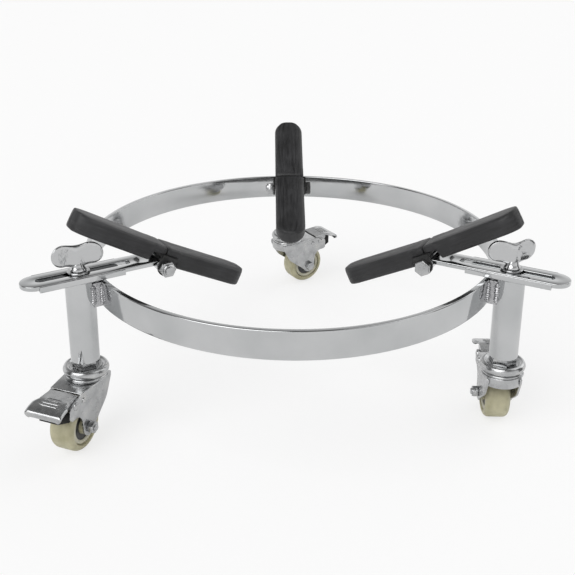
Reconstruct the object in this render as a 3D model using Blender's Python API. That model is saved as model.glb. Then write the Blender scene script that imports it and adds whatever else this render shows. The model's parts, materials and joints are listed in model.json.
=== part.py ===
"""Rolling cradle for a conga drum, modelled in metres with +Z up.

A welded ring stands on three leaning tube legs. A channel on top of each leg guides a slotted
arm, which a wing bolt clamps. The arm carries a tilting rubber pad, and each leg ends in a
swivel caster with a foot brake. The origin is the middle of the footprint, on the floor.
"""

from math import asin, cos, degrees, pi, radians, sin, sqrt, tan

import bmesh
import bpy
from mathutils import Matrix

# Running gap between pieces that touch
GAP = 0.0003

# Ring of flat bar
RING_RADIUS = 0.2000
RING_HEIGHT = 0.0254
RING_WALL = 0.0048
RING_PULL = 0.0016
RING_EDGE = 0.0006
RING_STEPS = 72

# Legs, numbered from the back one, counter-clockwise from above
LEG_AZIMUTHS = (90.0, 210.0, 330.0)
LEG_STANDOFF = 0.0136
LEG_RADIUS = RING_RADIUS + LEG_STANDOFF
LEG_LEAN = radians(2.43)
TUBE_RADIUS = 0.0127
TUBE_WALL = 0.0016
TUBE_DROP = 0.0756
NOTCH_HEIGHT = 0.0140
NOTCH_WIDTH = 0.0060
NOTCH_BEARING = radians(60.0)
SPACER_WIDTH = 0.0200
SPACER_HEIGHT = 0.0220

# Channel that guides the arm
GUIDE_LENGTH = 0.0730
GUIDE_WALL = 0.0015
GUIDE_LIP = 0.0054
GUIDE_RISE = 0.0018
ARM_SIDE_GAP = 0.0003

# Slotted arm, with radial places measured from the leg's axis
ARM_WIDTH = 0.0254
ARM_THICKNESS = 0.0040
ARM_OVERHANG = 0.0494
SLOT_INSET = 0.0456
SLOT_OUTSET = 0.0364
ARM_TIP = LEG_RADIUS + ARM_OVERHANG
SLOT_START = LEG_RADIUS - SLOT_INSET
SLOT_END = LEG_RADIUS + SLOT_OUTSET
SLOT_WIDTH = 0.0086

# Clamp: threaded insert, wing bolt and washer
STUD_RADIUS = 0.0040
STUD_LENGTH = 0.0240
INSERT_DEPTH = 0.0140
WASHER_RADIUS = 0.0095
WASHER_THICKNESS = 0.0016
NECK_RADIUS = 0.0062
NECK_HEIGHT = 0.0054
WING_REACH = 0.0120
WING_ROUND = 0.0095
WING_THICKNESS = 0.0042
WING_FOLD = radians(14.0)
WING_DIP = 0.0022
WING_TURNS = (8.0, -6.0, 38.0)

# Pad pivot
PIVOT_INSET = 0.0719
PIVOT_RADIUS = LEG_RADIUS - PIVOT_INSET
PIVOT_RISE = 0.0020
KNUCKLE_RADIUS = 0.0063
PIVOT_BOLT_RADIUS = 0.0040
PIVOT_HEAD_FLATS = 0.0130
PIVOT_HEAD_HEIGHT = 0.0053
PIVOT_NUT_HEIGHT = 0.0072
PIVOT_BOLT_END = 0.0012

# Pad: rubber sleeves over a bent steel core
PAD_WIDTH = 0.0320
PAD_THICKNESS = 0.0168
PAD_OUTER_LENGTH = 0.0865
PAD_INNER_LENGTH = 0.0880
PAD_OUTER_ANGLE = radians(31.2)
PAD_INNER_ANGLE = radians(27.6)
PIVOT_DEPTH = 0.0174
SEAM_OFFSET = 0.0037
PAD_SEAM_GAP = 0.0008
PAD_END_ROUND = 0.0130
PAD_EDGE = 0.0034
CORE_WIDTH = 0.0200
CORE_THICKNESS = 0.0030
CORE_DEPTH = 0.0050
CORE_MARGIN = 0.0100
STRAP_LENGTH = 0.0160
STRAP_THICKNESS = 0.0022
RELIEF_LENGTH = 0.0130

# Caster, measured down the leg's axis from the ring's top
RACE_DROP = 0.0844
RACE_RADIUS = 0.0205
RACE_HEIGHT = 0.0078
HEX_FLATS = 0.0210
KINGPIN_RADIUS = 0.0050
KINGPIN_HEAD = 0.0080
PLUG_LENGTH = 0.0300
PLATE_DROP = 0.0912
PLATE_THICKNESS = 0.0020
PLATE_RADIUS = 0.0195
PLATE_REACH = 0.0330
FORK_WIDTH = 0.0310
FORK_WALL = 0.0020
EAR_DROP = 0.0190
AXLE_DROP = 0.1292
AXLE_OFFSET = 0.0240
AXLE_RADIUS = 0.0030
AXLE_HEAD_FLATS = 0.0100
AXLE_HEAD_HEIGHT = 0.0042
AXLE_NUT_HEIGHT = 0.0052
WHEEL_RADIUS = 0.0240
WHEEL_WIDTH = 0.0230
WHEEL_ROUND = 0.0050
HUB_RADIUS = 0.0080
HUB_WIDTH = 0.0254
WEB_RECESS = 0.0030
CASTER_TURNS = (-57.0, 40.0, 114.0)

# Foot brake
BRAKE_PIN_OFFSET = 0.0420
BRAKE_PIN_DROP = 0.0980
BRAKE_PIN_RADIUS = 0.0024
EAR_MARGIN = 0.0080
EAR_REACH = BRAKE_PIN_OFFSET + EAR_MARGIN
PEDAL_START = 0.0358
PEDAL_TIP = 0.0680
PEDAL_WIDTH = 0.0346
PEDAL_THICKNESS = 0.0018
PEDAL_LIP = 0.0050
SHOE_WIDTH = 0.0180

# Facets of round pieces
COARSE = 12
MEDIUM = 18
FINE = 24

CHROME = ("chrome", (0.78, 0.78, 0.80), 0.12, 1.0)
ZINC = ("zinc_plate", (0.70, 0.71, 0.72), 0.30, 1.0)
RUBBER = ("pad_rubber", (0.025, 0.025, 0.027), 0.60, 0.0)
BLACK_STEEL = ("black_steel", (0.030, 0.030, 0.032), 0.45, 0.3)
NYLON = ("cream_nylon", (0.74, 0.72, 0.56), 0.40, 0.0)
SHOE_RUBBER = ("brake_rubber", (0.020, 0.020, 0.020), 0.70, 0.0)


def clear_scene():
    """Remove every object, so that only the stand is left."""
    for thing in list(bpy.data.objects):
        bpy.data.objects.remove(thing, do_unlink=True)


def finish_of(spec):
    """Return the named material, made once."""
    name, colour, roughness, metallic = spec
    material = bpy.data.materials.get(name)
    if material:
        return material
    material = bpy.data.materials.new(name)
    material.use_nodes = True
    shader = material.node_tree.nodes["Principled BSDF"]
    shader.inputs["Base Color"].default_value = (*colour, 1.0)
    shader.inputs["Roughness"].default_value = roughness
    shader.inputs["Metallic"].default_value = metallic
    return material


def empty(name, parent=None, matrix=None):
    """Add an empty that carries a group of pieces."""
    carrier = bpy.data.objects.new(name, None)
    bpy.context.collection.objects.link(carrier)
    carrier.parent = parent
    carrier.matrix_local = matrix or Matrix.Identity(4)
    return carrier


def piece(name, mesh, finish, parent, matrix=None):
    """Add one named piece with its own finish."""
    thing = bpy.data.objects.new(name, mesh)
    bpy.context.collection.objects.link(thing)
    thing.parent = parent
    thing.matrix_local = matrix or Matrix.Identity(4)
    if not mesh.materials:
        mesh.materials.append(finish_of(finish))
    return thing


def mesh_from(name, bm, sharp=32.0):
    """Turn a bmesh into a mesh with outward faces and smooth round walls."""
    bmesh.ops.remove_doubles(bm, verts=bm.verts, dist=1e-6)
    bmesh.ops.recalc_face_normals(bm, faces=bm.faces)
    mesh = bpy.data.meshes.new(name)
    bm.to_mesh(mesh)
    bm.free()
    mesh.shade_smooth()
    mesh.set_sharp_from_angle(angle=radians(sharp))
    return mesh


def prism(outline, low, high, axis="z"):
    """Extrude a flat outline from low to high along one axis."""
    place = {
        "x": lambda a, b, h: (h, a, b),
        "y": lambda a, b, h: (a, h, b),
        "z": lambda a, b, h: (a, b, h),
    }[axis]
    bm = bmesh.new()
    floor = [bm.verts.new(place(a, b, low)) for a, b in outline]
    roof = [bm.verts.new(place(a, b, high)) for a, b in outline]
    bm.faces.new(floor)
    bm.faces.new(list(reversed(roof)))
    for i in range(len(outline)):
        j = (i + 1) % len(outline)
        bm.faces.new((floor[i], floor[j], roof[j], roof[i]))
    bmesh.ops.recalc_face_normals(bm, faces=bm.faces)
    bm.normal_update()
    return bm


def turned(profile, steps, axis="z"):
    """Spin a closed profile of (radius, height) points about one axis."""
    place = {
        "z": lambda r, h, a: (r * cos(a), r * sin(a), h),
        "y": lambda r, h, a: (r * sin(a), h, r * cos(a)),
    }[axis]
    bm = bmesh.new()
    rows = []
    for k in range(steps):
        angle = 2 * pi * k / steps
        rows.append([bm.verts.new(place(r, h, angle)) for r, h in profile])
    bm.verts.ensure_lookup_table()
    count = len(profile)
    for k in range(steps):
        here, there = rows[k], rows[(k + 1) % steps]
        for i in range(count):
            j = (i + 1) % count
            quad = (here[i], here[j], there[j], there[i])
            if profile[i][0] > 0 or profile[j][0] > 0:
                bm.faces.new(quad)
    bmesh.ops.remove_doubles(bm, verts=bm.verts, dist=1e-6)
    return bm


def arc(centre, radius, start, end, steps):
    """Points along an arc, in degrees, both ends included."""
    cx, cy = centre
    angles = [radians(start + (end - start) * k / steps) for k in range(steps + 1)]
    return [(cx + radius * cos(a), cy + radius * sin(a)) for a in angles]


def hexagon(flats, turn=0.0):
    """Corners of a hexagon, given across its flats."""
    corner = flats / sqrt(3.0)
    return [(corner * cos(turn + k * pi / 3), corner * sin(turn + k * pi / 3)) for k in range(6)]


def combine(thing, tool_mesh, operation, parent_matrix=None):
    """Add or cut a shape that is drawn in the piece's own frame."""
    tool = bpy.data.objects.new(thing.name + "_tool", tool_mesh)
    bpy.context.collection.objects.link(tool)
    tool.parent = thing
    tool.matrix_local = parent_matrix or Matrix.Identity(4)
    tool.hide_render = True
    tool.display_type = "WIRE"
    boolean = thing.modifiers.new(operation.lower(), "BOOLEAN")
    boolean.operation = operation
    boolean.solver = "EXACT"
    boolean.object = tool


def ring_radius(azimuth):
    """Outer radius of the ring, drawn in a little at each leg."""
    return RING_RADIUS - RING_PULL * cos(3 * (azimuth - radians(LEG_AZIMUTHS[0])))


def make_ring(parent):
    """Closed hoop of flat bar with softened edges, its top at height zero."""
    edge = RING_EDGE
    section = [
        (0.0, -edge),
        (-edge, 0.0),
        (edge - RING_WALL, 0.0),
        (-RING_WALL, -edge),
        (-RING_WALL, edge - RING_HEIGHT),
        (edge - RING_WALL, -RING_HEIGHT),
        (-edge, -RING_HEIGHT),
        (0.0, edge - RING_HEIGHT),
    ]
    bm = bmesh.new()
    rows = []
    for k in range(RING_STEPS):
        a = 2 * pi * k / RING_STEPS
        r = ring_radius(a)
        rows.append([bm.verts.new(((r + d) * cos(a), (r + d) * sin(a), h)) for d, h in section])
    for k in range(RING_STEPS):
        here, there = rows[k], rows[(k + 1) % RING_STEPS]
        for i in range(len(section)):
            j = (i + 1) % len(section)
            bm.faces.new((here[i], here[j], there[j], there[i]))
    piece("ring", mesh_from("ring", bm), CHROME, parent)


def guide_width():
    """Outer width of the channel, which fits over the arm."""
    return ARM_WIDTH + 2 * (ARM_SIDE_GAP + GUIDE_WALL)


def arm_bottom():
    """Height of the arm's underside above the ring's top."""
    return GUIDE_RISE + GUIDE_WALL + GAP


def make_tube(leg, station):
    """Leg tube with a plugged, threaded top and a tapered notch at its foot.

    The top is cut level although the tube leans, so the height of each rim point is
    the level height less its outward distance times the lean's tangent.
    """
    inner = TUBE_RADIUS - TUBE_WALL
    rim = GUIDE_RISE - GAP
    plug_foot = rim - INSERT_DEPTH
    profile = [
        (TUBE_RADIUS, rim),
        (TUBE_RADIUS, -TUBE_DROP),
        (inner, -TUBE_DROP),
        (inner, plug_foot),
        (0.0, plug_foot),
        (0.0, rim),
    ]
    bm = turned(profile, FINE)
    for vert in bm.verts:
        if vert.co.z > rim - 1e-6:
            vert.co.z = rim / cos(LEG_LEAN) - vert.co.x * tan(LEG_LEAN)
    tube = piece(f"leg_tube_{station}", mesh_from("leg_tube", bm), CHROME, leg)
    bore = turned_rod(STUD_RADIUS + GAP, -2 * INSERT_DEPTH, INSERT_DEPTH)
    combine(tube, bore, "DIFFERENCE", Matrix.Rotation(LEG_LEAN, 4, "Y"))
    half = NOTCH_WIDTH / 2
    reach = 2 * TUBE_RADIUS
    spread = half * (1 + GAP / NOTCH_HEIGHT)
    wedge = [(0.0, NOTCH_HEIGHT - TUBE_DROP), (-spread, -TUBE_DROP - GAP), (spread, -TUBE_DROP - GAP)]
    cutter = mesh_from("notch", prism(wedge, 0.0, reach, axis="x"))
    combine(tube, cutter, "DIFFERENCE", Matrix.Rotation(NOTCH_BEARING, 4, "Z"))


def make_spacer(arm_frame, station):
    """Welded spacer that fills the wedge between the ring and the leaning tube."""
    steps = 6
    top = -(RING_HEIGHT - SPACER_HEIGHT) / 2
    bottom = top - SPACER_HEIGHT
    ring_face = RING_RADIUS - RING_PULL + GAP
    tube_face = TUBE_RADIUS + GAP
    bm = bmesh.new()
    rows = []
    for height in (bottom, top):
        axis = LEG_RADIUS - height * tan(LEG_LEAN)
        across = [SPACER_WIDTH * (k / steps - 0.5) for k in range(steps + 1)]
        near_ring = [(sqrt(ring_face**2 - y**2), y) for y in across]
        near_tube = [(axis - sqrt(tube_face**2 - y**2), y) for y in reversed(across)]
        rows.append([bm.verts.new((x, y, height)) for x, y in near_ring + near_tube])
    low, high = rows
    bm.faces.new(low)
    bm.faces.new(list(reversed(high)))
    for i in range(len(low)):
        j = (i + 1) % len(low)
        bm.faces.new((low[i], low[j], high[j], high[i]))
    piece(f"ring_spacer_{station}", mesh_from("ring_spacer", bm), CHROME, arm_frame)


def make_guide(arm_frame, station):
    """Open channel, lips up, that the arm slides in."""
    half = guide_width() / 2
    inside = half - GUIDE_WALL
    floor = GUIDE_RISE + GUIDE_WALL
    top = GUIDE_RISE + GUIDE_LIP
    section = [
        (-half, GUIDE_RISE),
        (half, GUIDE_RISE),
        (half, top),
        (inside, top),
        (inside, floor),
        (-inside, floor),
        (-inside, top),
        (-half, top),
    ]
    near = LEG_RADIUS - GUIDE_LENGTH / 2
    bm = prism(section, near, near + GUIDE_LENGTH, axis="x")
    guide = piece(f"arm_guide_{station}", mesh_from("arm_guide", bm), CHROME, arm_frame)
    bore = turned_rod(STUD_RADIUS + GAP, GUIDE_RISE - GUIDE_WALL, floor + GUIDE_WALL)
    combine(guide, bore, "DIFFERENCE", Matrix.Translation((LEG_RADIUS, 0, 0)))


def turned_rod(radius, low, high, steps=MEDIUM, axis="z"):
    """Mesh of a plain rod on its axis."""
    profile = [(0.0, low), (radius, low), (radius, high), (0.0, high)]
    return mesh_from("rod", turned(profile, steps, axis))


def make_arm(slider, station):
    """Slotted arm with a round outer tip and a cross tube at its inner end."""
    half = ARM_WIDTH / 2
    low = arm_bottom()
    high = low + ARM_THICKNESS
    outline = [(PIVOT_RADIUS, half), (PIVOT_RADIUS, -half)]
    outline += arc((ARM_TIP - half, 0.0), half, -90, 90, 12)
    bm = prism(outline, low, high)
    arm = piece(f"slide_arm_{station}", mesh_from("slide_arm", bm), CHROME, slider)
    knuckle_length = PAD_WIDTH - 2 * GAP
    knuckle = turned_rod(KNUCKLE_RADIUS, -knuckle_length / 2, knuckle_length / 2, axis="y")
    at_pivot = Matrix.Translation((PIVOT_RADIUS, 0, PIVOT_RISE))
    combine(arm, knuckle, "UNION", at_pivot)
    side = SLOT_WIDTH / 2
    slot = arc((SLOT_END - side, 0.0), side, -90, 90, 8) + arc((SLOT_START + side, 0.0), side, 90, 270, 8)
    cutter = mesh_from("slot", prism(slot, low - ARM_THICKNESS, high + ARM_THICKNESS))
    combine(arm, cutter, "DIFFERENCE")
    bore = turned_rod(PIVOT_BOLT_RADIUS + GAP, -PAD_WIDTH, PAD_WIDTH, COARSE, axis="y")
    combine(arm, bore, "DIFFERENCE", at_pivot)


def washer_seat():
    """Height of the clamp washer's underside."""
    return arm_bottom() + ARM_THICKNESS + GAP


def make_washer(carrier, station):
    """Flat washer between the wing bolt and the arm."""
    low = washer_seat()
    high = low + WASHER_THICKNESS
    bore = STUD_RADIUS + GAP
    profile = [(bore, low), (WASHER_RADIUS, low), (WASHER_RADIUS, high), (bore, high)]
    mesh = mesh_from("clamp_washer", turned(profile, MEDIUM))
    piece(f"clamp_washer_{station}", mesh, ZINC, carrier)


def wing_plate():
    """Both wings as one plate, folded along the bolt's axis.

    Half the side view runs out from the neck, round the wing's end and back to the
    axis. It is drawn once for each side, and moved towards +Y by its distance from
    the axis times the fold's tangent.
    """
    low = washer_seat() + WASHER_THICKNESS + GAP + NECK_HEIGHT
    end = (WING_REACH, low + WING_ROUND)
    outline = [(0.0, low - NECK_HEIGHT / 2), (NECK_RADIUS * 0.75, low - NECK_HEIGHT / 4)]
    outline += arc(end, WING_ROUND, -80, 95, 8)
    outline += [(0.0, low + 2 * WING_ROUND - WING_DIP)]
    half = WING_THICKNESS / 2
    bm = bmesh.new()
    for side in (1, -1):
        near = [bm.verts.new((side * x, x * tan(WING_FOLD) - half, z)) for x, z in outline]
        far = [bm.verts.new((side * x, x * tan(WING_FOLD) + half, z)) for x, z in outline]
        bm.faces.new(near)
        bm.faces.new(list(reversed(far)))
        for i in range(len(outline) - 1):
            bm.faces.new((near[i], near[i + 1], far[i + 1], far[i]))
    bmesh.ops.remove_doubles(bm, verts=bm.verts, dist=1e-6)
    bmesh.ops.recalc_face_normals(bm, faces=bm.faces)
    bm.normal_update()
    rims = [e for e in bm.edges if e.calc_face_angle(0.0) > radians(60)]
    bmesh.ops.bevel(bm, geom=rims, offset=half * 0.5, segments=1, affect="EDGES")
    return mesh_from("wings", bm)


def make_wing_bolt(carrier, station):
    """Cast wing bolt: stud, flared neck and two rounded wings folded towards one side."""
    base = washer_seat() + WASHER_THICKNESS + GAP
    foot = base - STUD_LENGTH
    shoulder = base + NECK_HEIGHT
    profile = [
        (0.0, foot),
        (STUD_RADIUS - GAP, foot),
        (STUD_RADIUS, foot + GAP),
        (STUD_RADIUS, base),
        (NECK_RADIUS * 1.15, base),
        (NECK_RADIUS * 1.15, base + NECK_HEIGHT * 0.25),
        (NECK_RADIUS, base + NECK_HEIGHT * 0.6),
        (NECK_RADIUS * 0.9, shoulder),
        (NECK_RADIUS * 0.6, shoulder + WING_ROUND),
        (0.0, shoulder + WING_ROUND * 1.2),
    ]
    mesh = mesh_from("wing_bolt", turned(profile, MEDIUM))
    bolt = piece(f"wing_bolt_{station}", mesh, CHROME, carrier)
    combine(bolt, wing_plate(), "UNION")


def ear_face():
    """Distance of the ears' outer faces from the pad's middle plane."""
    return PAD_WIDTH / 2 + GAP + STRAP_THICKNESS


def make_pivot_bolt(pad, station):
    """Hex bolt through both ears and the arm's cross tube, with a nut on its other end."""
    head_face = -(ear_face() + GAP)
    nut_face = ear_face() + GAP
    tip = nut_face + PIVOT_NUT_HEIGHT + PIVOT_BOLT_END
    shank = mesh_from("pivot_shank", prism_round(PIVOT_BOLT_RADIUS, head_face - GAP, tip))
    bolt = piece(f"pivot_bolt_{station}", shank, ZINC, pad)
    head = prism(hexagon(PIVOT_HEAD_FLATS, pi / 6), head_face - PIVOT_HEAD_HEIGHT, head_face, axis="y")
    combine(bolt, mesh_from("pivot_head", head), "UNION")
    bore = PIVOT_BOLT_RADIUS + GAP
    nut = prism(hexagon(PIVOT_HEAD_FLATS), nut_face, nut_face + PIVOT_NUT_HEIGHT, axis="y")
    nut = piece(f"pivot_nut_{station}", mesh_from("pivot_nut", nut), ZINC, pad)
    cutter = turned_rod(bore, -PAD_WIDTH, 2 * PAD_WIDTH, COARSE, axis="y")
    combine(nut, cutter, "DIFFERENCE")


def prism_round(radius, low, high):
    """Rod along Y as a bmesh."""
    return prism(arc((0.0, 0.0), radius, 0, 360 - 360 / COARSE, COARSE - 1), low, high, axis="y")


def pad_point(along, below):
    """Place on the pad in its side view, from the seam on its top face.

    Positive distances run along the outer half and negative ones along the inner half,
    and the depth is measured square to that half's top face.
    """
    angle = PAD_OUTER_ANGLE if along >= 0 else PAD_INNER_ANGLE
    seam = seam_place()
    x = seam[0] + along * cos(angle) + below * sin(angle)
    z = seam[1] + along * sin(angle) - below * cos(angle)
    return x, z


def seam_place():
    """The seam on the top face, from the pivot: raised over it and set forward along the pad."""
    mid = middle_angle()
    x = SEAM_OFFSET * cos(mid) - PIVOT_DEPTH * sin(mid)
    z = SEAM_OFFSET * sin(mid) + PIVOT_DEPTH * cos(mid)
    return x, z


def middle_angle():
    """Mean slope of the pad's two halves."""
    return (PAD_OUTER_ANGLE + PAD_INNER_ANGLE) / 2


def strip(start, end, top, bottom, half_width, name):
    """Bent bar in the pad's side view, cut from start to end, of a given width."""
    bend = [] if start * end >= 0 else [0.0]
    stops = [start] + bend + [end]
    outline = [pad_point(s, top) for s in stops] + [pad_point(s, bottom) for s in reversed(stops)]
    return mesh_from(name, prism(outline, -half_width, half_width, axis="y"))


def core_depths():
    """Top and bottom depth of the steel core below the pad's top face."""
    return CORE_DEPTH, CORE_DEPTH + CORE_THICKNESS


def make_pad_core(pad, station):
    """Bent steel core with a welded strap whose ears reach down to the pivot."""
    top, bottom = core_depths()
    start = CORE_MARGIN - PAD_INNER_LENGTH
    end = PAD_OUTER_LENGTH - CORE_MARGIN
    bar = strip(start, end, top, bottom, CORE_WIDTH / 2, "pad_core")
    core = piece(f"pad_core_{station}", bar, BLACK_STEEL, pad)
    slope = Matrix.Rotation(-middle_angle(), 4, "Y")
    half = STRAP_LENGTH / 2
    reach = ear_face()
    high = PIVOT_DEPTH - bottom + CORE_THICKNESS / 3
    low = PIVOT_DEPTH - bottom - STRAP_THICKNESS
    combine(core, box(-half, half, reach - STRAP_THICKNESS / 2, low, high), "UNION", slope)
    ear_half = half - GAP
    outline = [(ear_half, high - GAP), (-ear_half, high - GAP)]
    outline += arc((0.0, 0.0), ear_half, 180, 360, 8)
    for side in (-1, 1):
        near, far = sorted((side * (reach - STRAP_THICKNESS), side * reach))
        ear = mesh_from("ear", prism(outline, near, far, axis="y"))
        combine(core, ear, "UNION", slope)
    bore = turned_rod(PIVOT_BOLT_RADIUS + GAP, -2 * PAD_WIDTH, 2 * PAD_WIDTH, COARSE, axis="y")
    combine(core, bore, "DIFFERENCE")


def make_sleeve(pad, station, name, start, end):
    """Rubber sleeve over one half of the core: round outer end, open mouth at the seam."""
    length = abs(end - start)
    half = PAD_WIDTH / 2
    round_end = PAD_END_ROUND
    plan = [(0.0, -half)]
    plan += arc((length - round_end, round_end - half), round_end, -90, 0, 5)
    plan += arc((length - round_end, half - round_end), round_end, 0, 90, 5)
    plan += [(0.0, half)]
    bm = prism(plan, -PAD_THICKNESS, 0.0)
    rims = [e for e in bm.edges if e.calc_face_angle(0.0) > radians(60) and e.calc_length() < length * 2]
    rims = [e for e in rims if min(v.co.x for v in e.verts) > 1e-6 or abs(e.verts[0].co.x - e.verts[1].co.x) > 1e-6]
    bmesh.ops.bevel(bm, geom=rims, offset=PAD_EDGE, segments=2, affect="EDGES", profile=0.5)
    outward = 1 if end > start else -1
    angle = PAD_OUTER_ANGLE if outward > 0 else PAD_INNER_ANGLE
    x, z = pad_point(start, 0.0)
    turn = Matrix.Rotation(-angle, 4, "Y")
    flip = Matrix.Identity(4) if outward > 0 else Matrix.Rotation(pi, 4, "Z")
    mesh = mesh_from(name, bm)
    sleeve = piece(f"{name}_{station}", mesh, RUBBER, pad, Matrix.Translation((x, 0, z)) @ turn @ flip)
    top, bottom = core_depths()
    pocket_length = length - CORE_MARGIN + 2 * GAP
    pocket = box(-GAP * 10, pocket_length, CORE_WIDTH / 2 + GAP, -bottom - GAP, -top + GAP)
    combine(sleeve, pocket, "DIFFERENCE")
    relief_top = CORE_THICKNESS / 3 + 2 * GAP - bottom
    relief = box(-GAP * 10, RELIEF_LENGTH, PAD_WIDTH, -2 * PAD_THICKNESS, relief_top)
    combine(sleeve, relief, "DIFFERENCE")


def box(x0, x1, half_width, z0, z1):
    """Mesh of a box, centred across Y."""
    outline = [(x0, -half_width), (x1, -half_width), (x1, half_width), (x0, half_width)]
    return mesh_from("box", prism(outline, z0, z1))


def race_profile():
    """Section of the upper race: a dished pressing with a rolled rim."""
    z = -RACE_DROP
    r = RACE_RADIUS
    h = RACE_HEIGHT / 2
    hole = KINGPIN_RADIUS * 1.4 + GAP
    return [
        (hole, z - 0.10 * h),
        (hole, z + 0.42 * h),
        (0.68 * r, z + 0.42 * h),
        (0.75 * r, z + 0.85 * h),
        (0.83 * r, z + h),
        (0.93 * r, z + 0.75 * h),
        (r, z),
        (0.97 * r, z - 0.65 * h),
        (0.90 * r, z - h),
        (0.82 * r, z - h),
        (0.74 * r, z - 0.10 * h),
    ]


def make_race(leg, station):
    """Upper race, fixed under the leg."""
    mesh = mesh_from("upper_race", turned(race_profile(), FINE))
    piece(f"upper_race_{station}", mesh, ZINC, leg)


def make_stem(leg, station):
    """Stem: plug inside the tube, hex flange over the race and kingpin through the fork."""
    plug = TUBE_RADIUS - TUBE_WALL - GAP
    flange_top = -TUBE_DROP - GAP
    flange_low = -RACE_DROP + 0.21 * RACE_HEIGHT + GAP
    collar = KINGPIN_RADIUS * 1.4
    collar_low = -RACE_DROP - 0.05 * RACE_HEIGHT
    plate_under = -PLATE_DROP - PLATE_THICKNESS
    head_low = plate_under - GAP - 0.0024
    profile = [
        (0.0, head_low),
        (KINGPIN_HEAD * 0.8, head_low),
        (KINGPIN_HEAD, head_low + 0.0012),
        (KINGPIN_HEAD, plate_under - GAP),
        (KINGPIN_RADIUS, plate_under - GAP),
        (KINGPIN_RADIUS, collar_low),
        (collar, collar_low),
        (collar, flange_top - GAP),
        (plug, flange_top - GAP),
        (plug, PLUG_LENGTH - TUBE_DROP),
        (0.0, PLUG_LENGTH - TUBE_DROP),
    ]
    stem = piece(f"caster_stem_{station}", mesh_from("caster_stem", turned(profile, MEDIUM)), ZINC, leg)
    flange = mesh_from("stem_flange", prism(hexagon(HEX_FLATS), flange_low, flange_top))
    combine(stem, flange, "UNION")


def fork_side():
    """Side view of one fork cheek: brake ear behind, round foot at the axle."""
    top = -PLATE_DROP
    under = top - EAR_DROP
    foot = (AXLE_OFFSET, -AXLE_DROP)
    outline = [(-PLATE_RADIUS * 0.8, top - PLATE_THICKNESS), (-PLATE_RADIUS * 0.8, top - 0.006)]
    outline += [(-0.006, top - 0.024)]
    outline += arc(foot, 0.0085, 205, 340, 6)
    outline += [(AXLE_OFFSET + 0.0095, under - 0.006), (AXLE_OFFSET + 0.0150, under)]
    outline += arc((EAR_REACH - 0.005, under + 0.005), 0.005, -90, 0, 3)
    outline += [(EAR_REACH, top - 0.006), (EAR_REACH - 0.006, top - 0.0035), (PLATE_REACH, top - PLATE_THICKNESS)]
    return outline


def make_fork(caster, station):
    """Stamped fork: round-fronted plate, lower race, two cheeks and the brake's cross pin."""
    top = -PLATE_DROP
    under = top - PLATE_THICKNESS
    half = FORK_WIDTH / 2
    lead = degrees(asin(half / PLATE_RADIUS))
    outline = [(PLATE_REACH, -half), (PLATE_REACH, half)]
    outline += arc((0.0, 0.0), PLATE_RADIUS, lead + 52, 308 - lead, 14)
    bm = prism(outline, under, top)
    fork = piece(f"fork_{station}", mesh_from("fork", bm), ZINC, caster)
    rim = RACE_RADIUS * 0.9
    lip = -RACE_DROP - RACE_HEIGHT / 2 - 2 * GAP
    profile = [
        (rim * 0.6, top - GAP),
        (rim, top - GAP),
        (rim, (top + lip) / 2),
        (rim * 0.95, lip),
        (rim * 0.65, lip),
    ]
    combine(fork, mesh_from("lower_race", turned(profile, FINE)), "UNION")
    for side in (-1, 1):
        low, high = sorted((side * (half - FORK_WALL), side * half))
        combine(fork, mesh_from("cheek", prism(fork_side(), low, high, axis="y")), "UNION")
    pin = half + 0.0012
    rod = turned_rod(BRAKE_PIN_RADIUS, -pin, pin, COARSE, axis="y")
    combine(fork, rod, "UNION", Matrix.Translation((BRAKE_PIN_OFFSET, 0, -BRAKE_PIN_DROP)))
    hole = turned_rod(KINGPIN_RADIUS + GAP, under - GAP * 10, top + GAP * 20)
    combine(fork, hole, "DIFFERENCE")
    bore = turned_rod(AXLE_RADIUS + GAP, -2 * half, 2 * half, COARSE, axis="y")
    combine(fork, bore, "DIFFERENCE", Matrix.Translation((AXLE_OFFSET, 0, -AXLE_DROP)))


def make_wheel(axle, station):
    """Nylon wheel with rounded tread edges, recessed webs and a hub."""
    half = WHEEL_WIDTH / 2
    hub = HUB_WIDTH / 2
    web = half - WEB_RECESS
    bore = AXLE_RADIUS + GAP
    rim = WHEEL_RADIUS * 0.75
    corner = (WHEEL_RADIUS - WHEEL_ROUND, half - WHEEL_ROUND)
    side = [(bore, hub), (HUB_RADIUS, hub), (HUB_RADIUS, web), (rim, web), (rim + 0.0004, half)]
    side += [(r, h) for h, r in arc((corner[1], corner[0]), WHEEL_ROUND, 0, 90, 3)]
    profile = side + [(r, -h) for r, h in reversed(side)]
    mesh = mesh_from("wheel", turned(profile, FINE, axis="y"))
    piece(f"wheel_{station}", mesh, NYLON, axle)


def make_axle(axle, station):
    """Axle bolt with a hex head on one cheek and a nut on the other."""
    cheek = FORK_WIDTH / 2 + GAP
    tip = cheek + AXLE_NUT_HEIGHT + 0.0015
    shank = mesh_from("axle_shank", prism_round(AXLE_RADIUS, -cheek - GAP, tip))
    bolt = piece(f"axle_bolt_{station}", shank, ZINC, axle)
    head = prism(hexagon(AXLE_HEAD_FLATS), -cheek - AXLE_HEAD_HEIGHT, -cheek, axis="y")
    combine(bolt, mesh_from("axle_head", head), "UNION")
    nut = prism(hexagon(AXLE_HEAD_FLATS, pi / 6), cheek, cheek + AXLE_NUT_HEIGHT, axis="y")
    nut = piece(f"axle_nut_{station}", mesh_from("axle_nut", nut), ZINC, axle)
    cutter = turned_rod(AXLE_RADIUS + GAP, 0.0, 2 * FORK_WIDTH, COARSE, axis="y")
    combine(nut, cutter, "DIFFERENCE")


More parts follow.
